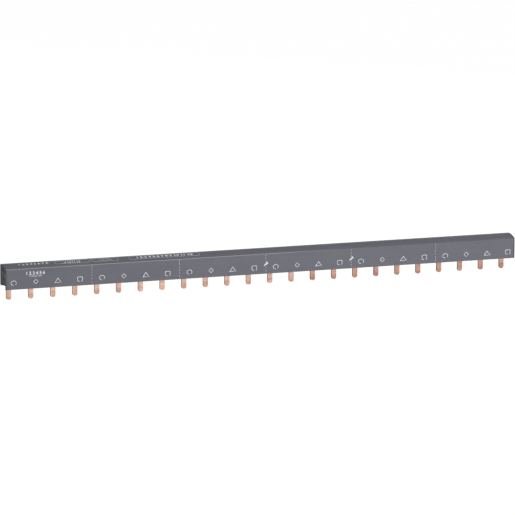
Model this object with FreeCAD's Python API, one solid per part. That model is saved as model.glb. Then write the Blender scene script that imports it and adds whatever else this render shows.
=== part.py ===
import FreeCAD, Part

import math
import os

# Four-phase comb busbar for 18 mm modular devices: a row of copper tabs under an insulated cover.
# Millimetres. X runs along the bar, +Y goes to the rear, +Z is up. The origin is the middle of the tab
# row, on the tabs' mid-plane, level with the face where the tabs leave the cover.

# The row of tabs
MODULE = 18.0
PHASES = ["circle", "diamond", "triangle", "square"]
GROUPS = 6
END_MARGIN = 6.2

# Copper: strip stock for the bars, and the tabs stamped from it
COPPER = 1.6
TAB_WIDTH = 4.0
TAB_LENGTH = 12.2
TIP_ROUND = 1.7
BAR_HEIGHT = 9.5
BAR_PITCH = 3.5
BAR_END_GAP = 2.0
BEND_RADIUS = 1.4

# Cover: an extrusion that is open below, with a front wall that hangs lower than the rear one
DEPTH = 15.2
TAB_SETBACK = 13.4
SKIRT_DROP = 1.8
WALL = 0.9
ROOF = 1.1
CROWN_RADIUS = 27.0
CROWN_SETBACK = 11.0
CROWN_TOP = 16.7
RIDGE_ROUND = 0.6
REAR_ROUND = 1.2
SKIRT_ROUND = 0.3
SKIRT_LEAD = 0.4
RIB_WIDTH = 0.8
FRONT_RIB_HEIGHTS = [6.5, 11.5]

# Floor that snaps between the walls, thicker at the rear where it guides the tabs
FLOOR = 0.7
FLOOR_TOP = 1.9
GUIDE_DEPTH = 3.4
NOTCH_SIDE_GAP = 0.2
NOTCH_RELIEF = 0.5
PIP_RADIUS = 0.3
PIP_LENGTH = 6.0

# Separators between the bars
LEDGE = 0.6
SEPARATOR_RISE = 0.6
CORNER_RELIEF = 0.5

# End caps
CAP = 1.2
PLUG_DEPTH = 1.6
MARK_SIZE = [0.25, 1.3, 0.9]
MARK_PITCH = 3.7
MARK_RISE = 0.8
FIRST_MARK = [-12.2, 9.2]

# Gap between parts that slide together
FIT = 0.1

# Worked out from the above
tab_count = GROUPS * len(PHASES)
length = (tab_count - 1) * MODULE + 2 * END_MARGIN
half = length / 2
cap_seat = half - CAP
bar_half = cap_seat - BAR_END_GAP
front = -TAB_SETBACK
rear = DEPTH - TAB_SETBACK
front_inner = front + WALL
rear_inner = rear - WALL
crown_y = front + CROWN_SETBACK
crown_z = CROWN_TOP - CROWN_RADIUS
crank_z = FLOOR_TOP + COPPER / 2
ledge_bottom = FLOOR_TOP + COPPER
bar_bottom = ledge_bottom + LEDGE
bar_top = bar_bottom + BAR_HEIGHT
floor_bottom = FLOOR_TOP - FLOOR
guide_front = rear_inner - GUIDE_DEPTH


def tab_x(number):
    """Centre of a tab, counted from 0 at the left end."""
    return number * MODULE - half + END_MARGIN


def bar_y(phase):
    """Mid-plane of a bar: the first phase lies nearest the front, the last one in the tabs' plane."""
    return (phase - len(PHASES) + 1) * BAR_PITCH


def box(low, high):
    """Box between its lowest and highest corners."""
    size = [high[axis] - low[axis] for axis in range(3)]
    return Part.makeBox(size[0], size[1], size[2], FreeCAD.Vector(low[0], low[1], low[2]))


def extrude(edges, x_from, x_to):
    """Solid from a closed outline drawn in the YZ plane."""
    face = Part.Face(Part.Wire(edges))
    face.translate(FreeCAD.Vector(x_from, 0, 0))
    return face.extrude(FreeCAD.Vector(x_to - x_from, 0, 0))


def on_section(y, z):
    """Point of the YZ plane, in which every outline is drawn."""
    return FreeCAD.Vector(0, y, z)


def line(start, end):
    return Part.LineSegment(on_section(*start), on_section(*end)).toShape()


def arc(centre, radius, angle_from, angle_to):
    """Arc in the YZ plane, angles in degrees from +Y towards +Z."""
    points = []
    for angle in [angle_from, (angle_from + angle_to) / 2, angle_to]:
        turn = math.radians(angle)
        points.append(on_section(centre[0] + radius * math.cos(turn), centre[1] + radius * math.sin(turn)))
    return Part.Arc(points[0], points[1], points[2]).toShape()


def polygon(points):
    return [line(points[i], points[(i + 1) % len(points)]) for i in range(len(points))]


def arched(front_y, rear_y, bottom, radius):
    """Outline with upright sides, a flat bottom and a top on the crown's centre."""
    angles = [math.degrees(math.acos((y - crown_y) / radius)) for y in [front_y, rear_y]]
    top = [crown_z + radius * math.sin(math.radians(angle)) for angle in angles]
    return [
        line((front_y, bottom), (front_y, top[0])),
        arc((crown_y, crown_z), radius, angles[0], angles[1]),
        line((rear_y, top[1]), (rear_y, bottom)),
        line((rear_y, bottom), (front_y, bottom)),
    ]


def outer_body(x_from, x_to):
    """The cover's outside as a solid block, with its ridge, rear top edge and skirt rounded."""
    block = extrude(arched(front, rear, -SKIRT_DROP, CROWN_RADIUS), x_from, x_to)
    rounds = [(front, True, RIDGE_ROUND), (rear, True, REAR_ROUND), (front, False, SKIRT_ROUND)]
    for y, is_top, radius in rounds:
        long_edges = []
        for edge in block.Edges:
            bounds = edge.BoundBox
            runs_along_x = bounds.XLength > CAP / 2
            lies_at_y = max(abs(bounds.YMin - y), abs(bounds.YMax - y)) < FIT
            if runs_along_x and lies_at_y and (bounds.ZMin > bar_top) == is_top:
                long_edges.append(edge)
        block = block.makeFillet(radius, long_edges)
    return block


def inner_ribs(grow):
    """Ribs under the roof that hold the bars down, and ribs on the front wall that hold them back."""
    ribs = []
    for phase in range(len(PHASES)):
        y = bar_y(phase)
        side = RIB_WIDTH / 2 + grow
        ribs.append(box((-cap_seat, y - side, bar_top + FIT - grow), (cap_seat, y + side, CROWN_TOP)))
    for z in FRONT_RIB_HEIGHTS:
        side = RIB_WIDTH / 2 + grow
        reach = bar_y(0) - COPPER / 2 - FIT + grow
        ribs.append(box((-cap_seat, front, z - side), (cap_seat, reach, z + side)))
    return ribs


def snap_line(y, radius, x_from, x_to):
    """Round bead along X at the height where the floor snaps into the walls."""
    z = (FLOOR_TOP + floor_bottom) / 2
    return Part.makeCylinder(radius, x_to - x_from, FreeCAD.Vector(x_from, y, z), FreeCAD.Vector(1, 0, 0))


def skirt_lead(x_from, x_to):
    """Wedge that bevels the inner lower edge of the front wall, so that devices slide in under it."""
    outline = [
        (front_inner - SKIRT_LEAD, -SKIRT_DROP), (front_inner + SKIRT_LEAD, -SKIRT_DROP),
        (front_inner, SKIRT_LEAD - SKIRT_DROP),
    ]
    return extrude(polygon(outline), x_from, x_to)


def housing():
    block = outer_body(-cap_seat, cap_seat)
    hollow = arched(front_inner, rear_inner, -SKIRT_DROP, CROWN_RADIUS - ROOF)
    cover = block.cut([extrude(hollow, -cap_seat, cap_seat), skirt_lead(-cap_seat, cap_seat)])
    cover = cover.cut(box((-half, rear_inner, -SKIRT_DROP), (half, rear + FIT, 0)))
    ribs = inner_ribs(0)
    cover = cover.fuse([rib.common(block) for rib in ribs])
    grooves = [snap_line(y, PIP_RADIUS + FIT / 2, -half, half) for y in [front_inner, rear_inner]]
    return cover.cut(grooves).removeSplitter()


def end_cap():
    """Right-hand cap: a plate with the cover's outline, a plug inside it and three small marks outside."""
    plate = outer_body(cap_seat, half)
    void = polygon([
        (front_inner, -SKIRT_DROP), (front_inner, floor_bottom), (guide_front, floor_bottom),
        (guide_front, 0), (rear, 0), (rear, -SKIRT_DROP),
    ])
    plate = plate.cut([extrude(void, cap_seat, half), skirt_lead(cap_seat, half)])
    plug_outline = arched(front_inner + FIT, rear_inner - FIT, FLOOR_TOP + FIT, CROWN_RADIUS - ROOF - FIT)
    plug = extrude(plug_outline, cap_seat - PLUG_DEPTH, cap_seat)
    plug = plug.cut(inner_ribs(FIT))
    marks = []
    for step in range(len(PHASES) - 1):
        y = FIRST_MARK[0] + step * MARK_PITCH
        z = FIRST_MARK[1] + step * MARK_RISE
        low = (half, y - MARK_SIZE[1] / 2, z - MARK_SIZE[2] / 2)
        high = (half + MARK_SIZE[0], y + MARK_SIZE[1] / 2, z + MARK_SIZE[2] / 2)
        marks.append(box(low, high))
    return plate.fuse([plug] + marks).removeSplitter()


def tab_outline(y):
    """Side view of one tab: down from its bar, back under the bars behind, and down in the tabs' plane."""
    side = COPPER / 2
    top = bar_bottom + COPPER
    if y == 0:
        return polygon([(-side, top), (-side, -TAB_LENGTH), (side, -TAB_LENGTH), (side, top)])
    upper = (y + BEND_RADIUS, crank_z + BEND_RADIUS)
    lower = (-BEND_RADIUS, crank_z - BEND_RADIUS)
    inside = BEND_RADIUS - side
    outside = BEND_RADIUS + side
    return [
        line((y - side, top), (y - side, upper[1])),
        arc(upper, outside, 180, 270),
        line((upper[0], crank_z - side), (lower[0], crank_z - side)),
        arc(lower, inside, 90, 0),
        line((-side, lower[1]), (-side, -TAB_LENGTH)),
        line((-side, -TAB_LENGTH), (side, -TAB_LENGTH)),
        line((side, -TAB_LENGTH), (side, lower[1])),
        arc(lower, outside, 0, 90),
        line((lower[0], crank_z + side), (upper[0], crank_z + side)),
        arc(upper, inside, 270, 180),
        line((y + side, upper[1]), (y + side, top)),
        line((y + side, top), (y - side, top)),
    ]


def tab(number, y):
    """One tab with its free end rounded."""
    x = tab_x(number)
    blade = extrude(tab_outline(y), x - TAB_WIDTH / 2, x + TAB_WIDTH / 2)
    corners = [
        edge for edge in blade.Edges
        if edge.BoundBox.ZMax < -TAB_LENGTH + FIT and edge.BoundBox.YLength > COPPER / 2
    ]
    return blade.makeFillet(TIP_ROUND, corners)


def phase_bar(phase):
    """Strip along the whole comb, with a tab at every fourth module."""
    y = bar_y(phase)
    strip = box((-bar_half, y - COPPER / 2, bar_bottom), (bar_half, y + COPPER / 2, bar_top))
    tabs = [tab(number, y) for number in range(phase, tab_count, len(PHASES))]
    return strip.fuse(tabs).removeSplitter()


def separator(phase):
    """Strip behind one bar, with a ledge under the next bar that is notched for that bar's tabs."""
    web_front = bar_y(phase) + COPPER / 2 + FIT
    web_rear = bar_y(phase + 1) - COPPER / 2 - FIT
    ledge_rear = bar_y(phase + 1) + COPPER / 2
    ledge_top = ledge_bottom + LEDGE
    top = bar_top + SEPARATOR_RISE
    strip = extrude(polygon([
        (web_front + CORNER_RELIEF, ledge_bottom), (ledge_rear, ledge_bottom), (ledge_rear, ledge_top),
        (web_rear, ledge_top), (web_rear, top), (web_front, top), (web_front, ledge_bottom + CORNER_RELIEF),
    ]), -bar_half, bar_half)
    notches = []
    side = TAB_WIDTH / 2 + NOTCH_SIDE_GAP
    for number in range(phase + 1, tab_count, len(PHASES)):
        x = tab_x(number)
        low = (x - side, web_rear, ledge_bottom - FIT)
        notches.append(box(low, (x + side, ledge_rear + FIT, ledge_top + FIT)))
    return strip.cut(notches)


def base_strip():
    """Floor of the cover, notched in its rear edge where each tab comes out."""
    front_edge = front_inner + FIT / 2
    rear_edge = rear_inner - FIT / 2
    strip = extrude(polygon([
        (front_edge, floor_bottom), (guide_front, floor_bottom), (guide_front, 0), (rear_edge, 0),
        (rear_edge, FLOOR_TOP), (front_edge, FLOOR_TOP),
    ]), -cap_seat + FIT, cap_seat - FIT)
    pips = []
    notches = []
    side = TAB_WIDTH / 2 + NOTCH_SIDE_GAP
    notch_front = -COPPER / 2 - NOTCH_SIDE_GAP
    notch_outline = [
        (notch_front, -FIT), (rear, -FIT), (rear, FLOOR_TOP + FIT),
        (notch_front - NOTCH_RELIEF - FIT, FLOOR_TOP + FIT), (notch_front, FLOOR_TOP - NOTCH_RELIEF),
    ]
    for number in range(tab_count):
        x = tab_x(number)
        notches.append(extrude(polygon(notch_outline), x - side, x + side))
        if number > 0:
            middle = x - MODULE / 2
            for y in [front_edge, rear_edge]:
                pips.append(snap_line(y, PIP_RADIUS, middle - PIP_LENGTH / 2, middle + PIP_LENGTH / 2))
    return strip.fuse(pips).cut(notches).removeSplitter()


def export(node, shape):
    """Write one piece, after a check that it is the single closed solid it should be."""
    if len(shape.Solids) != 1 or not shape.isValid():
        raise ValueError(node + " is not one valid solid")
    shape.Solids[0].exportStep("parts/" + node + ".step")


os.makedirs("parts", exist_ok=True)
export("housing", housing())
right_cap = end_cap()
export("end_cap_right", right_cap)
export("end_cap_left", right_cap.mirror(FreeCAD.Vector(0, 0, 0), FreeCAD.Vector(1, 0, 0)))
export("base_strip", base_strip())
for index, phase_name in enumerate(PHASES):
    export("bar_" + phase_name, phase_bar(index))
for index in range(len(PHASES) - 1):
    export("separator_" + str(index + 1), separator(index))
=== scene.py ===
import math

import bmesh
import bpy
from mathutils import Euler, Matrix, Vector


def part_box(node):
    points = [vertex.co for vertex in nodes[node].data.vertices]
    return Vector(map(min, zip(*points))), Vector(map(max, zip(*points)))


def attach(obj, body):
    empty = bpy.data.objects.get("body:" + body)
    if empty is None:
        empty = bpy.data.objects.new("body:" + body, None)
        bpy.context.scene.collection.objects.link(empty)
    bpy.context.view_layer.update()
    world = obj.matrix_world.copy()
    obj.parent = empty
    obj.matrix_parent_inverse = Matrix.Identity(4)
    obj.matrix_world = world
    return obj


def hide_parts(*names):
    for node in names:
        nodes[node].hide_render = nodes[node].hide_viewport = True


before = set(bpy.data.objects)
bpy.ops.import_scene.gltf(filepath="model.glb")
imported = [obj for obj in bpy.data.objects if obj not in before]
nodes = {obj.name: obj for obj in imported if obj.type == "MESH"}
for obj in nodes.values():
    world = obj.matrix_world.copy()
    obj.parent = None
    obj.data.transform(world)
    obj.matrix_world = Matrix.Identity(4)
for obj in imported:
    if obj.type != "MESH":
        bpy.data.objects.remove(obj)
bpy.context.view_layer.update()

# A comb busbar: copper tabs under an extruded cover with white print. Metres, in the frame of the CAD.

MM = 0.001

cover_low, cover_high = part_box("housing")
bar_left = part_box("end_cap_left")[0].x

# The cover's front face and its crown, whose ridge line lies some way behind it: both carry the print
FRONT_Y = cover_low.y
CROWN_RADIUS = 27 * MM
CROWN_SETBACK = 11 * MM
CROWN_Y = FRONT_Y + CROWN_SETBACK
CROWN_Z = cover_high.z - CROWN_RADIUS

# The row of tabs
MODULE = 18 * MM
TAB_COUNT = 24
PHASES = ["circle", "diamond", "triangle", "square"]

# Print: ink height above the plastic, how far it reaches into it, and how its round corners are drawn
INK_HEIGHT = 0.04 * MM
INK_ROOT = 0.02 * MM
CORNER_STEPS = 4

# Phase symbols: all but the diamond are open at their lower right, between two places from their middle
SYMBOL_Z = {"circle": 3.5 * MM, "diamond": 3.75 * MM, "triangle": 3.75 * MM, "square": 3.5 * MM}
SYMBOL_SHIFT = 0.3 * MM
STROKE = 0.38 * MM
CIRCLE_WIDTH = 4.7 * MM
CIRCLE_HEIGHT = 3.9 * MM
CIRCLE_GAP = [-0.1 * MM, 1.45 * MM]
CIRCLE_STEPS = 40
DIAMOND_WIDTH = 4.3 * MM
DIAMOND_HEIGHT = 4.0 * MM
DIAMOND_STROKE = 0.34 * MM
TRIANGLE_WIDTH = 5.7 * MM
TRIANGLE_HEIGHT = 4.0 * MM
TRIANGLE_GAP = [1.1 * MM, 2.2 * MM]
SQUARE_WIDTH = 4.3 * MM
SQUARE_HEIGHT = 3.8 * MM
SQUARE_CORNER = 0.7 * MM
SQUARE_GAP = [-0.1 * MM, 1.2 * MM]

# Dashed cutting lines between the groups of four, and the saw signs on two of them
CUT_LINE_SHIFT = 1.0 * MM
CUT_LINE_WIDTH = 0.2 * MM
CUT_LINE_TOP = 13.8 * MM
DASH_COUNT = 6
DASH = 1.4 * MM
DASH_PITCH = 2.47 * MM
SIGN_MODULES = [12, 16]
SIGN_Z = 5.9 * MM
SIGN_TURN = math.radians(43)
SAW_TIP = 0.7 * MM
SAW_HEEL = 1.5 * MM
SAW_BLADE = 3 * MM
SAW_TEETH = 5
SAW_TOOTH = 0.25 * MM
SAW_HANDLE_START = 3.35 * MM
SAW_LENGTH = 4.2 * MM
SAW_HANDLE_WIDTH = 2.2 * MM

# Numerals: height of a digit in a font of size 1, and how finely their curves are drawn
DIGIT_HEIGHT = 0.7
DIGIT_STEPS = 4

# Rows of numerals: text, its middle from the bar's left end, its place up the face or along the crown,
# the height of a digit, and how much its strokes are thickened
FRONT_ROWS = [
    ("1 2 3 4 5 6", 24.4 * MM, 10.6 * MM, 2.5 * MM, 0.1 * MM),
    ("1 2 3 4 5 6 7 8 9", 24.4 * MM, 8.2 * MM, 1.1 * MM, 0.03 * MM),
]
CROWN_ROWS = [
    ("1 2 3 4 5 6 7 8", 24.5 * MM, -3.9 * MM, 2.9 * MM, 0.12 * MM),
    ("1 2 3 4 5 6 7 8", 56 * MM, -2.3 * MM, 1.7 * MM, 0.02 * MM),
    ("9 10 11 12", 56 * MM, -5.5 * MM, 2.1 * MM, 0.12 * MM),
    ("13 14 15 16", 83 * MM, -2.5 * MM, 1.5 * MM, 0),
    ("17 18 19 20", 83 * MM, -5.3 * MM, 1.5 * MM, 0),
    ("1 2 3 4 5 6 7 8 9 10 11 12", 132 * MM, -4 * MM, 3.1 * MM, 0.2 * MM),
]

# Thin frames round the rows on the crown: from and to along the bar, then over the crown
CROWN_FRAMES = [(42 * MM, 70 * MM), (72 * MM, 94 * MM), (103 * MM, 161 * MM)]
FRAME_FROM_TO = (-7.2 * MM, -0.8 * MM)
FRAME_CORNER = 1.4 * MM
FRAME_STROKE = 0.24 * MM

# Width of the strips in which print bends over the crown
BEND_STRIP = 0.6 * MM

# Grain: fineness of its patches and its lines, and the part of their noise that is spread over the tones
# and over the roughness
PATCH_DETAIL = 3
LINE_DETAIL = 4
TONE_SPREAD = (0.7, 1.3)
ROUGHNESS_SPREAD = (0.3, 0.7)

# Gloss of the plastics
COVER_GLOSS = 0.12
FLOOR_GLOSS = 0.3

# Copper: where it turns darker along the bar, towards the right end; where painted shade grows on its tabs
# from the cover down, which leaves them paler near the cover; and which faces were sheared, by how far they
# turn to the side, where they get painted shade. Each tone multiplies the copper's own
RIGHT_DARKENING_FROM_TO = (0, 60 * MM)
RIGHT_DARKENING_TONE = (0.81, 0.7, 0.7)
TIP_PAINTED_SHADE_FROM_TO = (-5 * MM, -9.5 * MM)
TIP_PAINTED_SHADE_TONE = (0.8, 0.72, 0.68)
SIDE_SHADE_FROM_TO = (0.5, 0.9)
SIDE_SHADE_TONE = (0.14, 0.14, 0.14)
COPPER_RIM_TINT = (0.6, 0.5, 0.45)

# Raised marks on the caps, painted pale as a highlight: how far below their tops it starts and is full,
# and by what it multiplies the plastic's tone
MARK_FROM_TO = (0.2 * MM, 0.05 * MM)
MARK_HIGHLIGHT_TONE = (4.4, 4.3, 4)

# Painted highlight on the rounded ridge, a paler tone under a glossy coat: by how far its face turns up, and
# by the place along the bar, where it fades out
RIDGE_BAND = [(0.1, 0), (0.3, 1), (0.75, 1), (0.9, 0)]
RIDGE_FADE = (10 * MM, 70 * MM)
RIDGE_SHINE = 1
RIDGE_ROUGHNESS = 0.34
RIDGE_HIGHLIGHT_TONE = (0.23, 0.235, 0.262)

# Places of the colours on Blender's Mix node, whose sockets share their names
MIX_FIRST = 6
MIX_SECOND = 7
MIX_RESULT = 2

# Softened edges of the dressed copies
WELD = 0.001 * MM
FLAT_ANGLE = math.radians(0.5)
SHARP_ANGLE = math.radians(32)
EDGE_SEGMENTS = 2
EXTRUDED_EDGE = 0.08 * MM
MOULDED_EDGE = 0.12 * MM
STAMPED_EDGE = 0.12 * MM

# Studio: strength of the world as a light, and as the white that is seen behind the bar
WORLD_LIGHT = 0.33
WORLD_SEEN = 1

# Pale floor, seen as a white glow with a little of its own shading
FLOOR_Z = -0.3
FLOOR_SIDE = 6
FLOOR_TONE = (0.8, 0.8, 0.8)
FLOOR_GLOW = 1.12
FLOOR_SHADING = 0.15

# Lamps: name, place, size and power
LAMPS = [
    ("key_light", (2.75, -2.2, 0.9), (1.8, 1.3), 24),
    ("front_light", (0.19, -1.1, 0.44), (0.36, 0.24), 7.6),
    ("back_light", (1.9, 2.1, 0.12), (1.6, 0.6), 52),
]

# Camera, with its lens and sensor in millimetres
CAMERA_TARGET = Vector((-3.4 * MM, -5.8 * MM, 10.2 * MM))
CAMERA_AZIMUTH = math.radians(-19.2)
CAMERA_ELEVATION = math.radians(11)
CAMERA_ROLL = math.radians(0.22)
CAMERA_DISTANCE = 3.8
CAMERA_LENS = 335.3
CAMERA_SENSOR = 36


def finished(name, bm, material):
    """Makes the mesh a piece of the object, with one material."""
    mesh = bpy.data.meshes.new(name)
    bm.to_mesh(mesh)
    bm.free()
    piece = bpy.data.objects.new(name, mesh)
    bpy.context.scene.collection.objects.link(piece)
    mesh.materials.append(material)
    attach(piece, "root")
    return piece


# Materials


def add_node(tree, kind, **settings):
    """Adds a shader node, with its settings."""
    node = tree.nodes.new(kind)
    for key, value in settings.items():
        setattr(node, key, value)
    return node


def set_range(node, low, high):
    """Sets the two values between which a Map Range node goes over from one result to the other."""
    node.inputs["From Min"].default_value = low
    node.inputs["From Max"].default_value = high


def grain_group():
    """Tone, roughness and fine relief that vary over a surface."""
    group = bpy.data.node_groups.new("grain", "ShaderNodeTree")
    inputs = [
        ("Tone", "NodeSocketColor"), ("Second Tone", "NodeSocketColor"),
        ("Patch Scale", "NodeSocketVector"), ("Line Scale", "NodeSocketVector"),
        ("Smoothest", "NodeSocketFloat"), ("Roughest", "NodeSocketFloat"), ("Relief", "NodeSocketFloat"),
    ]
    outputs = [
        ("Color", "NodeSocketColor"), ("Roughness", "NodeSocketFloat"), ("Normal", "NodeSocketVector"),
    ]
    for name, kind in inputs:
        group.interface.new_socket(name=name, in_out="INPUT", socket_type=kind)
    for name, kind in outputs:
        group.interface.new_socket(name=name, in_out="OUTPUT", socket_type=kind)
    link = group.links.new
    given = add_node(group, "NodeGroupInput").outputs
    place = add_node(group, "ShaderNodeTexCoord").outputs["Object"]
    noises = {}
    for scale_name, detail in [("Patch Scale", PATCH_DETAIL), ("Line Scale", LINE_DETAIL)]:
        mapping = add_node(group, "ShaderNodeMapping")
        link(place, mapping.inputs["Vector"])
        link(given[scale_name], mapping.inputs["Scale"])
        noise = add_node(group, "ShaderNodeTexNoise")
        noise.inputs["Scale"].default_value = 1
        noise.inputs["Detail"].default_value = detail
        link(mapping.outputs["Vector"], noise.inputs["Vector"])
        noises[scale_name] = noise.outputs["Fac"]
    both = add_node(group, "ShaderNodeMath", operation="ADD")
    link(noises["Patch Scale"], both.inputs[0])
    link(noises["Line Scale"], both.inputs[1])
    spread = add_node(group, "ShaderNodeMapRange", interpolation_type="SMOOTHSTEP")
    set_range(spread, *TONE_SPREAD)
    link(both.outputs[0], spread.inputs["Value"])
    tone = add_node(group, "ShaderNodeMix", data_type="RGBA")
    link(spread.outputs[0], tone.inputs["Factor"])
    link(given["Tone"], tone.inputs[MIX_FIRST])
    link(given["Second Tone"], tone.inputs[MIX_SECOND])
    roughness = add_node(group, "ShaderNodeMapRange")
    link(noises["Line Scale"], roughness.inputs["Value"])
    set_range(roughness, *ROUGHNESS_SPREAD)
    link(given["Smoothest"], roughness.inputs["To Min"])
    link(given["Roughest"], roughness.inputs["To Max"])
    relief = add_node(group, "ShaderNodeBump")
    link(noises["Line Scale"], relief.inputs["Height"])
    link(given["Relief"], relief.inputs["Distance"])
    result = add_node(group, "NodeGroupOutput").inputs
    link(tone.outputs[MIX_RESULT], result["Color"])
    link(roughness.outputs[0], result["Roughness"])
    link(relief.outputs["Normal"], result["Normal"])
    return group


grain = grain_group()


def surface(name, tones, patch_scale, line_scale, roughness, relief):
    """Material with the grain's tone, roughness and relief. Returns it with its tree, grain and shader."""
    material = bpy.data.materials.new(name)
    material.use_nodes = True
    tree = material.node_tree
    tree.nodes.clear()
    texture = add_node(tree, "ShaderNodeGroup", node_tree=grain)
    values = {
        "Tone": (*tones[0], 1), "Second Tone": (*tones[1], 1), "Patch Scale": patch_scale,
        "Line Scale": line_scale, "Smoothest": roughness[0], "Roughest": roughness[1], "Relief": relief,
    }
    for key, value in values.items():
        texture.inputs[key].default_value = value
    shader = add_node(tree, "ShaderNodeBsdfPrincipled")
    tree.links.new(texture.outputs["Color"], shader.inputs["Base Color"])
    tree.links.new(texture.outputs["Roughness"], shader.inputs["Roughness"])
    tree.links.new(texture.outputs["Normal"], shader.inputs["Normal"])
    output = add_node(tree, "ShaderNodeOutputMaterial")
    tree.links.new(shader.outputs["BSDF"], output.inputs["Surface"])
    return material, tree, texture, shader


def painted_ridge_group():
    """Rounded front ridge with a painted highlight, a paler tone under a glossy coat, fading out along the
    bar.
    """
    group = bpy.data.node_groups.new("painted_ridge_highlight", "ShaderNodeTree")
    for name in ["Color", "Highlight Color"]:
        group.interface.new_socket(name=name, in_out="INPUT", socket_type="NodeSocketColor")
    for name in ["Shine", "Fade Start", "Fade End"]:
        group.interface.new_socket(name=name, in_out="INPUT", socket_type="NodeSocketFloat")
    group.interface.new_socket(name="Color", in_out="OUTPUT", socket_type="NodeSocketColor")
    group.interface.new_socket(name="Coat", in_out="OUTPUT", socket_type="NodeSocketFloat")
    link = group.links.new
    given = add_node(group, "NodeGroupInput").outputs
    sources = add_node(group, "ShaderNodeTexCoord").outputs
    facing = add_node(group, "ShaderNodeSeparateXYZ")
    link(sources["Normal"], facing.inputs[0])
    band = add_node(group, "ShaderNodeFloatCurve")
    curve = band.mapping.curves[0]
    curve.points[0].location, curve.points[1].location = (0, 0), (1, 0)
    for point in RIDGE_BAND:
        curve.points.new(*point)
    band.mapping.update()
    link(facing.outputs["Z"], band.inputs["Value"])
    place = add_node(group, "ShaderNodeSeparateXYZ")
    link(sources["Object"], place.inputs[0])
    along = add_node(group, "ShaderNodeMapRange", interpolation_type="SMOOTHSTEP")
    link(place.outputs["X"], along.inputs["Value"])
    link(given["Fade Start"], along.inputs["From Min"])
    link(given["Fade End"], along.inputs["From Max"])
    link(given["Shine"], along.inputs["To Min"])
    along.inputs["To Max"].default_value = 0
    shine = add_node(group, "ShaderNodeMath", operation="MULTIPLY")
    link(band.outputs[0], shine.inputs[0])
    link(along.outputs[0], shine.inputs[1])
    tone = add_node(group, "ShaderNodeMix", data_type="RGBA")
    link(shine.outputs[0], tone.inputs["Factor"])
    link(given["Color"], tone.inputs[MIX_FIRST])
    link(given["Highlight Color"], tone.inputs[MIX_SECOND])
    result = add_node(group, "NodeGroupOutput").inputs
    link(tone.outputs[MIX_RESULT], result["Color"])
    link(shine.outputs[0], result["Coat"])
    return group


painted_ridge_highlight = painted_ridge_group()


def tone_ramp_group():
    """Colour that is multiplied by another tone, more and more while a place goes from start to full."""
    group = bpy.data.node_groups.new("tone_ramp", "ShaderNodeTree")
    for name in ["Color", "Ramp Tone"]:
        group.interface.new_socket(name=name, in_out="INPUT", socket_type="NodeSocketColor")
    for name in ["Place", "Start", "Full"]:
        group.interface.new_socket(name=name, in_out="INPUT", socket_type="NodeSocketFloat")
    group.interface.new_socket(name="Color", in_out="OUTPUT", socket_type="NodeSocketColor")
    link = group.links.new
    given = add_node(group, "NodeGroupInput").outputs
    mask = add_node(group, "ShaderNodeMapRange", interpolation_type="SMOOTHSTEP")
    link(given["Place"], mask.inputs["Value"])
    link(given["Start"], mask.inputs["From Min"])
    link(given["Full"], mask.inputs["From Max"])
    ramped = add_node(group, "ShaderNodeMix", data_type="RGBA", blend_type="MULTIPLY")
    link(mask.outputs[0], ramped.inputs["Factor"])
    link(given["Color"], ramped.inputs[MIX_FIRST])
    link(given["Ramp Tone"], ramped.inputs[MIX_SECOND])
    link(ramped.outputs[MIX_RESULT], add_node(group, "NodeGroupOutput").inputs["Color"])
    return group


tone_ramp = tone_ramp_group()


def ramped_tone(tree, tone, source, axis, both_ways, limits, factor):
    """Multiplies a colour by a tone as a coordinate, or its absolute value, goes from one limit to the
    other.
    """
    apart = add_node(tree, "ShaderNodeSeparateXYZ")
    tree.links.new(add_node(tree, "ShaderNodeTexCoord").outputs[source], apart.inputs[0])
    along = apart.outputs[axis]
    if both_ways:
        either_way = add_node(tree, "ShaderNodeMath", operation="ABSOLUTE")
        tree.links.new(along, either_way.inputs[0])
        along = either_way.outputs[0]
    ramped = add_node(tree, "ShaderNodeGroup", node_tree=tone_ramp)
    tree.links.new(tone, ramped.inputs["Color"])
    tree.links.new(along, ramped.inputs["Place"])
    ramped.inputs["Ramp Tone"].default_value = (*factor, 1)
    ramped.inputs["Start"].default_value, ramped.inputs["Full"].default_value = limits
    return ramped.outputs["Color"]


def add_ridge_highlight(tree, tone, shader):
    """Adds the ridge's painted highlight, a paler tone under a glossy coat, to a plastic's tone."""
    highlighted = add_node(tree, "ShaderNodeGroup", node_tree=painted_ridge_highlight)
    tree.links.new(tone, highlighted.inputs["Color"])
    highlighted.inputs["Highlight Color"].default_value = (*RIDGE_HIGHLIGHT_TONE, 1)
    highlighted.inputs["Shine"].default_value = RIDGE_SHINE
    highlighted.inputs["Fade Start"].default_value, highlighted.inputs["Fade End"].default_value = RIDGE_FADE
    tree.links.new(highlighted.outputs["Color"], shader.inputs["Base Color"])
    tree.links.new(highlighted.outputs["Coat"], shader.inputs["Coat Weight"])
    shader.inputs["Coat Roughness"].default_value = RIDGE_ROUGHNESS


def cover_plastic():
    """Blue-grey extruded plastic with faint lines along the bar."""
    material, tree, texture, shader = surface(
        "cover_plastic", tones=[(0.143, 0.146, 0.17), (0.155, 0.157, 0.182)],
        patch_scale=(30, 120, 120), line_scale=(25, 2600, 2600), roughness=(0.66, 0.78), relief=0.006 * MM,
    )
    shader.inputs["Specular IOR Level"].default_value = COVER_GLOSS
    # Painted highlight with a glossy coat along the ridge
    add_ridge_highlight(tree, texture.outputs["Color"], shader)
    return material


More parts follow.
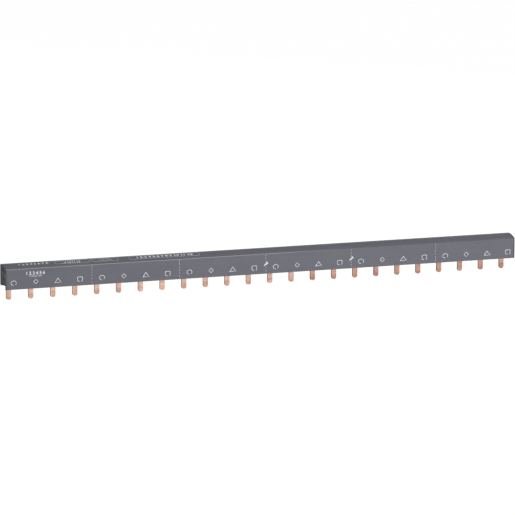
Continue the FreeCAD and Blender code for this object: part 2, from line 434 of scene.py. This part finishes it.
def cap_plastic_painted_shade():
    """The same plastic, moulded, with an even spark-eroded grain, a darker tone as painted shade, and its
    raised marks painted pale as a highlight.
    """
    # Tones darker than the cover's: painted shade on the bar's ends
    material, tree, texture, shader = surface(
        "cap_plastic_painted_shade", tones=[(0.101, 0.104, 0.12), (0.111, 0.114, 0.131)],
        patch_scale=(90, 90, 90), line_scale=(2400, 2400, 2400), roughness=(0.66, 0.8), relief=0.012 * MM,
    )
    shader.inputs["Specular IOR Level"].default_value = COVER_GLOSS
    # Painted highlight: the tops of the raised marks are made pale
    mark_limits = [-bar_left - below for below in MARK_FROM_TO]
    tone = ramped_tone(tree, texture.outputs["Color"], "Object", "X", True, mark_limits, MARK_HIGHLIGHT_TONE)
    # Painted highlight with a glossy coat along the ridge
    add_ridge_highlight(tree, tone, shader)
    return material


def floor_plastic():
    """Dark plastic of the strip that closes the cover from below."""
    material, _, _, shader = surface(
        "floor_plastic", tones=[(0.094, 0.096, 0.108), (0.106, 0.108, 0.121)],
        patch_scale=(30, 120, 120), line_scale=(25, 2400, 2400), roughness=(0.45, 0.6), relief=0.006 * MM,
    )
    shader.inputs["Specular IOR Level"].default_value = FLOOR_GLOSS
    return material


def separator_plastic():
    """Light grey insulating strip."""
    return surface(
        "separator_plastic", tones=[(0.28, 0.28, 0.29), (0.32, 0.32, 0.33)],
        patch_scale=(30, 120, 120), line_scale=(25, 2000, 2000), roughness=(0.5, 0.62), relief=0.008 * MM,
    )[0]


def print_ink():
    """Thin white print that lets a little of the plastic through."""
    return surface(
        "print_ink", tones=[(0.66, 0.66, 0.71), (0.78, 0.78, 0.82)],
        patch_scale=(400, 400, 400), line_scale=(3000, 3000, 3000), roughness=(0.5, 0.65), relief=0.004 * MM,
    )[0]


def rolled_copper():
    """Rolled copper, darker towards one end, with painted shade towards the tabs' tips that leaves them pale
    near the cover, and painted shade on their sheared sides.
    """
    material, tree, texture, shader = surface(
        "rolled_copper", tones=[(0.584, 0.359, 0.281), (0.836, 0.579, 0.469)],
        patch_scale=(160, 160, 160), line_scale=(60, 1500, 1500), roughness=(0.26, 0.42), relief=0.004 * MM,
    )
    tone = texture.outputs["Color"]
    # Darker towards the right end of the bar
    tone = ramped_tone(tree, tone, "Object", "X", False, RIGHT_DARKENING_FROM_TO, RIGHT_DARKENING_TONE)
    # Painted shade towards the tabs' tips, which leaves them paler near the cover
    tone = ramped_tone(tree, tone, "Object", "Z", False, TIP_PAINTED_SHADE_FROM_TO, TIP_PAINTED_SHADE_TONE)
    # Painted shade on the tabs' sheared sides, by how far they turn to the side
    tone = ramped_tone(tree, tone, "Normal", "X", True, SIDE_SHADE_FROM_TO, SIDE_SHADE_TONE)
    tree.links.new(tone, shader.inputs["Base Color"])
    shader.inputs["Metallic"].default_value = 1
    shader.inputs["Specular Tint"].default_value = (*COPPER_RIM_TINT, 1)
    return material


cover_finish = cover_plastic()
shaded_cap_finish = cap_plastic_painted_shade()
floor_finish = floor_plastic()
separator_finish = separator_plastic()
copper_finish = rolled_copper()
ink_finish = print_ink()


# Dressed copies of the CAD nodes


def dressed(node_name, piece_name, material, edge_width):
    """Copy of a CAD node with its doubles merged and its edges softened, which stands for the node."""
    bm = bmesh.new()
    bm.from_mesh(nodes[node_name].data)
    bmesh.ops.remove_doubles(bm, verts=bm.verts, dist=WELD)
    bmesh.ops.dissolve_limit(bm, angle_limit=FLAT_ANGLE, verts=bm.verts, edges=bm.edges)
    sharp = [edge for edge in bm.edges if edge.is_manifold and edge.calc_face_angle() > SHARP_ANGLE]
    bmesh.ops.bevel(
        bm, geom=sharp, offset=edge_width, offset_type="OFFSET", segments=EDGE_SEGMENTS, profile=0.5,
        affect="EDGES", clamp_overlap=True, material=-1,
    )
    for face in bm.faces:
        face.smooth = True
    piece = finished(piece_name, bm, material)
    # The normals that come with the CAD mesh don't fit the softened edges
    if "custom_normal" in piece.data.attributes:
        piece.data.attributes.remove(piece.data.attributes["custom_normal"])
    even = piece.modifiers.new("even_shading", "WEIGHTED_NORMAL")
    even.keep_sharp = True
    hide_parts(node_name)
    return piece


def dress_nodes():
    """Finishes all CAD nodes. The separators, hidden inside, keep their own mesh."""
    dressed("housing", "cover", cover_finish, EXTRUDED_EDGE)
    for side in ["left", "right"]:
        dressed(f"end_cap_{side}", f"cap_{side}", shaded_cap_finish, MOULDED_EDGE)
    dressed("base_strip", "cover_floor", floor_finish, EXTRUDED_EDGE)
    for phase in PHASES:
        dressed(f"bar_{phase}", f"copper_{phase}", copper_finish, STAMPED_EDGE)
    for number in [1, 2, 3]:
        materials = nodes[f"separator_{number}"].data.materials
        materials.clear()
        materials.append(separator_finish)


# Print, drawn flat: X along the bar, Y up the face or over the crown, then laid on the cover


def on_front(point):
    """Lays a flat point on the front face: its Y becomes the height, as Z is in the frame."""
    return Vector((point.x, FRONT_Y - point.z, point.y))


def on_crown(point):
    """Lays a flat point on the crown: its Y is the distance from the crown's top, along the surface."""
    turn = point.y / CROWN_RADIUS
    reach = CROWN_RADIUS + point.z
    return Vector((point.x, CROWN_Y + reach * math.sin(turn), CROWN_Z + reach * math.cos(turn)))


def inked(name, bm, lay):
    """Gives flat print its thickness and lays it on the cover."""
    bmesh.ops.remove_doubles(bm, verts=bm.verts, dist=WELD)
    raised = bmesh.ops.extrude_face_region(bm, geom=bm.faces[:])["geom"]
    top = [item for item in raised if isinstance(item, bmesh.types.BMVert)]
    bmesh.ops.translate(bm, verts=top, vec=(0, 0, INK_HEIGHT + INK_ROOT))
    bmesh.ops.translate(bm, verts=bm.verts, vec=(0, 0, -INK_ROOT))
    bmesh.ops.recalc_face_normals(bm, faces=bm.faces)
    for face in bm.faces:
        face.smooth = False
    for vertex in bm.verts:
        vertex.co = lay(vertex.co)
    return finished(name, bm, ink_finish)


def cut_in_strips(bm):
    """Cuts flat print along the bar, so that it can bend over the crown."""
    heights = [vertex.co.y for vertex in bm.verts]
    for number in range(1, math.ceil((max(heights) - min(heights)) / BEND_STRIP)):
        whole = bm.verts[:] + bm.edges[:] + bm.faces[:]
        cut = (0, min(heights) + number * BEND_STRIP, 0)
        bmesh.ops.bisect_plane(bm, geom=whole, plane_co=cut, plane_no=(0, 1, 0))


def flat_face(bm, points):
    """Flat face with corners at the points, given as X and Y."""
    face = bm.faces.new([bm.verts.new((x, y, 0)) for x, y in points])
    face.normal_update()
    return face


def hollowed(bm, face, stroke):
    """Leaves a band of one stroke's width inside the face's edge."""
    bmesh.ops.inset_individual(bm, faces=[face], thickness=stroke, use_even_offset=True)
    bmesh.ops.delete(bm, geom=[face], context="FACES")


def cut_gap(bm, x_from, x_to, y_below):
    """Removes the part of the print that lies below a height, between two places along the bar."""
    for x in [x_from, x_to]:
        whole = bm.verts[:] + bm.edges[:] + bm.faces[:]
        bmesh.ops.bisect_plane(bm, geom=whole, plane_co=(x, 0, 0), plane_no=(1, 0, 0))
    spare = []
    for face in bm.faces:
        middle = face.calc_center_median()
        if x_from < middle.x < x_to and middle.y < y_below:
            spare.append(face)
    bmesh.ops.delete(bm, geom=spare, context="FACES")


def rounded_band(bm, corners, corner_radius, stroke):
    """Band of one stroke's width along an outline with round corners, in a mesh that holds nothing else."""
    face = flat_face(bm, corners)
    bmesh.ops.bevel(
        bm, geom=face.verts[:], offset=corner_radius, offset_type="OFFSET", segments=CORNER_STEPS,
        profile=0.5, affect="VERTICES", material=-1,
    )
    bm.faces.ensure_lookup_table()
    hollowed(bm, bm.faces[0], stroke)


def open_circle():
    """Circle, drawn a little wider than it is high."""
    bm = bmesh.new()
    bmesh.ops.create_circle(bm, cap_ends=True, radius=0.5, segments=CIRCLE_STEPS)
    bmesh.ops.scale(bm, vec=(CIRCLE_WIDTH, CIRCLE_HEIGHT, 1), verts=bm.verts)
    bm.faces.ensure_lookup_table()
    bm.faces[0].normal_update()
    hollowed(bm, bm.faces[0], STROKE)
    cut_gap(bm, *CIRCLE_GAP, 0)
    return bm


def diamond():
    """Diamond, the one symbol without a gap."""
    bm = bmesh.new()
    side, top = DIAMOND_WIDTH / 2, DIAMOND_HEIGHT / 2
    face = flat_face(bm, [(side, 0), (0, top), (-side, 0), (0, -top)])
    hollowed(bm, face, DIAMOND_STROKE)
    return bm


def open_triangle():
    """Triangle, wider than it is high."""
    bm = bmesh.new()
    side, top = TRIANGLE_WIDTH / 2, TRIANGLE_HEIGHT / 2
    face = flat_face(bm, [(-side, -top), (side, -top), (0, top)])
    hollowed(bm, face, STROKE)
    cut_gap(bm, *TRIANGLE_GAP, STROKE - top)
    return bm


def open_square():
    """Square with round corners."""
    bm = bmesh.new()
    side, top = SQUARE_WIDTH / 2, SQUARE_HEIGHT / 2
    corners = [(-side, -top), (side, -top), (side, top), (-side, top)]
    rounded_band(bm, corners, SQUARE_CORNER, STROKE)
    cut_gap(bm, *SQUARE_GAP, STROKE - top)
    return bm


def saw():
    """Hand saw seen from the side, its blade to the lower left."""
    bm = bmesh.new()
    tooth_length = SAW_BLADE / SAW_TEETH
    back, heel_edge = SAW_HEEL / 2, -SAW_HEEL / 2
    tip_edge = back - SAW_TIP
    points = [(SAW_BLADE, back), (0, back - SAW_TOOTH)]
    for number in range(SAW_TEETH):
        start = number * tooth_length
        edge = tip_edge + (heel_edge - tip_edge) * start / SAW_BLADE
        points += [(start, edge), (start + tooth_length / 2, edge - SAW_TOOTH)]
    points.append((SAW_BLADE, heel_edge))
    flat_face(bm, points)
    side = SAW_HANDLE_WIDTH / 2
    flat_face(bm, [
        (SAW_HANDLE_START, -side), (SAW_LENGTH, SAW_TOOTH - side),
        (SAW_LENGTH, side - SAW_TOOTH), (SAW_HANDLE_START, side),
    ])
    middle = Matrix.Translation((-SAW_LENGTH / 2, 0, 0))
    bmesh.ops.transform(bm, matrix=Matrix.Rotation(SIGN_TURN, 4, "Z") @ middle, verts=bm.verts)
    return bm


def repeated(name, shape, places, lay):
    """Print with the same shape at each place."""
    pattern = bpy.data.meshes.new("pattern")
    shape.to_mesh(pattern)
    shape.free()
    bm = bmesh.new()
    here = Vector((0, 0, 0))
    for place in places:
        pattern.transform(Matrix.Translation(Vector(place) - here))
        here = Vector(place)
        bm.from_mesh(pattern)
    bpy.data.meshes.remove(pattern)
    return inked(name, bm, lay)


def tab_x(number):
    """Centre of a tab, counted from 0 at the left end."""
    return (number - (TAB_COUNT - 1) / 2) * MODULE


def phase_symbols():
    """A symbol above each tab, in the order of the phases."""
    shapes = {
        "circle": open_circle, "diamond": diamond, "triangle": open_triangle, "square": open_square,
    }
    for phase, name in enumerate(PHASES):
        tabs = range(phase, TAB_COUNT, len(PHASES))
        places = [(tab_x(tab) + SYMBOL_SHIFT, SYMBOL_Z[name], 0) for tab in tabs]
        repeated(f"print_{name}s", shapes[name](), places, on_front)


def cut_line_x(modules):
    """Place of the cutting line after that many modules."""
    return tab_x(modules - 0.5) + CUT_LINE_SHIFT


def cutting_marks():
    """Dashed lines between the groups of four, left open where a saw sign stands on one."""
    dash = bmesh.new()
    side = CUT_LINE_WIDTH / 2
    flat_face(dash, [(-side, -DASH), (side, -DASH), (side, 0), (-side, 0)])
    places = []
    for modules in range(len(PHASES), TAB_COUNT, len(PHASES)):
        for number in range(DASH_COUNT):
            top = CUT_LINE_TOP - number * DASH_PITCH
            crosses_sign = modules in SIGN_MODULES and abs(top - DASH / 2 - SIGN_Z) < SAW_LENGTH / 2
            if not crosses_sign:
                places.append((cut_line_x(modules), top, 0))
    repeated("print_cut_lines", dash, places, on_front)
    signs = [(cut_line_x(modules), SIGN_Z, 0) for modules in SIGN_MODULES]
    repeated("print_saws", saw(), signs, on_front)


def numerals(bm, text, x, y, height, boldness):
    """Adds a row of plain numerals, centred on a place, with digits of that height."""
    curve = bpy.data.curves.new("numerals", "FONT")
    curve.body = text
    curve.size = height / DIGIT_HEIGHT
    curve.offset = boldness
    curve.resolution_u = DIGIT_STEPS
    curve.align_x = "CENTER"
    curve.fill_mode = "FRONT"
    holder = bpy.data.objects.new("numerals", curve)
    bpy.context.scene.collection.objects.link(holder)
    bpy.context.view_layer.update()
    flat = bpy.data.meshes.new_from_object(holder.evaluated_get(bpy.context.evaluated_depsgraph_get()))
    flat.transform(Matrix.Translation((x, y - height / 2, 0)))
    bm.from_mesh(flat)
    bpy.data.objects.remove(holder)
    bpy.data.curves.remove(curve)
    bpy.data.meshes.remove(flat)


def thin_frame(bm, x_from, x_to, y_from, y_to, corner, stroke):
    """Adds a rectangular outline with round corners."""
    box = bmesh.new()
    corners = [(x_from, y_from), (x_to, y_from), (x_to, y_to), (x_from, y_to)]
    rounded_band(box, corners, corner, stroke)
    mesh = bpy.data.meshes.new("frame")
    box.to_mesh(mesh)
    box.free()
    bm.from_mesh(mesh)
    bpy.data.meshes.remove(mesh)


def front_numerals():
    """Two rows of numerals at the left end of the front face."""
    bm = bmesh.new()
    for text, from_left, y, height, boldness in FRONT_ROWS:
        numerals(bm, text, bar_left + from_left, y, height, boldness)
    inked("print_front_numerals", bm, on_front)


def crown_numerals():
    """Rows of numerals on the crown, some of them in thin frames."""
    bm = bmesh.new()
    for text, from_left, y, height, boldness in CROWN_ROWS:
        numerals(bm, text, bar_left + from_left, y, height, boldness)
    for x_from, x_to in CROWN_FRAMES:
        thin_frame(bm, bar_left + x_from, bar_left + x_to, *FRAME_FROM_TO, FRAME_CORNER, FRAME_STROKE)
    cut_in_strips(bm)
    inked("print_crown_numerals", bm, on_crown)


dress_nodes()
phase_symbols()
cutting_marks()
front_numerals()
crown_numerals()


# Stage


def light_path_choice(tree, plain, seen):
    """Shows one shader to the camera, in reflections and through glass, and lights with the other one."""
    path = add_node(tree, "ShaderNodeLightPath").outputs
    looked_at = path["Is Camera Ray"]
    for way in ["Is Glossy Ray", "Is Transmission Ray"]:
        either = add_node(tree, "ShaderNodeMath", operation="MAXIMUM")
        tree.links.new(looked_at, either.inputs[0])
        tree.links.new(path[way], either.inputs[1])
        looked_at = either.outputs[0]
    choice = add_node(tree, "ShaderNodeMixShader")
    tree.links.new(looked_at, choice.inputs[0])
    tree.links.new(plain, choice.inputs[1])
    tree.links.new(seen, choice.inputs[2])
    return choice.outputs[0]


def studio_world():
    """Even light from all round, seen as plain white."""
    world = bpy.data.worlds.new("studio")
    bpy.context.scene.world = world
    world.use_nodes = True
    tree = world.node_tree
    tree.nodes.clear()
    plain = add_node(tree, "ShaderNodeBackground")
    plain.inputs["Strength"].default_value = WORLD_LIGHT
    seen = add_node(tree, "ShaderNodeBackground")
    seen.inputs["Strength"].default_value = WORLD_SEEN
    for node in [plain, seen]:
        node.inputs["Color"].default_value = (1, 1, 1, 1)
    output = add_node(tree, "ShaderNodeOutputWorld")
    tree.links.new(light_path_choice(tree, plain.outputs[0], seen.outputs[0]), output.inputs["Surface"])


def studio_floor():
    """Pale floor below the bar."""
    bm = bmesh.new()
    bmesh.ops.create_grid(bm, x_segments=1, y_segments=1, size=FLOOR_SIDE)
    bmesh.ops.translate(bm, verts=bm.verts, vec=(0, 0, FLOOR_Z))
    mesh = bpy.data.meshes.new("studio_floor")
    bm.to_mesh(mesh)
    bm.free()
    floor = bpy.data.objects.new("studio_floor", mesh)
    bpy.context.scene.collection.objects.link(floor)
    material = bpy.data.materials.new("pale_floor")
    material.use_nodes = True
    tree = material.node_tree
    tree.nodes.clear()
    plain = add_node(tree, "ShaderNodeBsdfDiffuse")
    plain.inputs["Color"].default_value = (*FLOOR_TONE, 1)
    white = add_node(tree, "ShaderNodeEmission")
    white.inputs["Strength"].default_value = FLOOR_GLOW
    mostly_white = add_node(tree, "ShaderNodeMixShader")
    mostly_white.inputs[0].default_value = FLOOR_SHADING
    tree.links.new(white.outputs[0], mostly_white.inputs[1])
    tree.links.new(plain.outputs[0], mostly_white.inputs[2])
    output = add_node(tree, "ShaderNodeOutputMaterial")
    shown = light_path_choice(tree, plain.outputs[0], mostly_white.outputs[0])
    tree.links.new(shown, output.inputs["Surface"])
    mesh.materials.append(material)


def softbox(name, place, size, power):
    """Area lamp turned towards the bar's middle."""
    lamp = bpy.data.lights.new(name, "AREA")
    lamp.shape = "RECTANGLE"
    lamp.size, lamp.size_y = size
    lamp.energy = power
    holder = bpy.data.objects.new(name, lamp)
    bpy.context.scene.collection.objects.link(holder)
    holder.location = place
    holder.rotation_euler = Vector(place).to_track_quat("Z", "Y").to_euler()


def camera():
    """Long lens at the photograph's angle, from the left and slightly above."""
    data = bpy.data.cameras.new("camera")
    data.sensor_width = CAMERA_SENSOR
    data.lens = CAMERA_LENS
    holder = bpy.data.objects.new("camera", data)
    bpy.context.scene.collection.objects.link(holder)
    level = math.cos(CAMERA_ELEVATION)
    back = Vector((
        math.sin(CAMERA_AZIMUTH) * level, -math.cos(CAMERA_AZIMUTH) * level, math.sin(CAMERA_ELEVATION),
    ))
    holder.location = CAMERA_TARGET + back * CAMERA_DISTANCE
    turn = back.to_track_quat("Z", "Y").to_matrix() @ Euler((0, 0, CAMERA_ROLL)).to_matrix()
    holder.rotation_euler = turn.to_euler()
    bpy.context.scene.camera = holder


studio_world()
studio_floor()
for lamp_values in LAMPS:
    softbox(*lamp_values)
camera()
bpy.context.scene.view_settings.view_transform = "Standard"
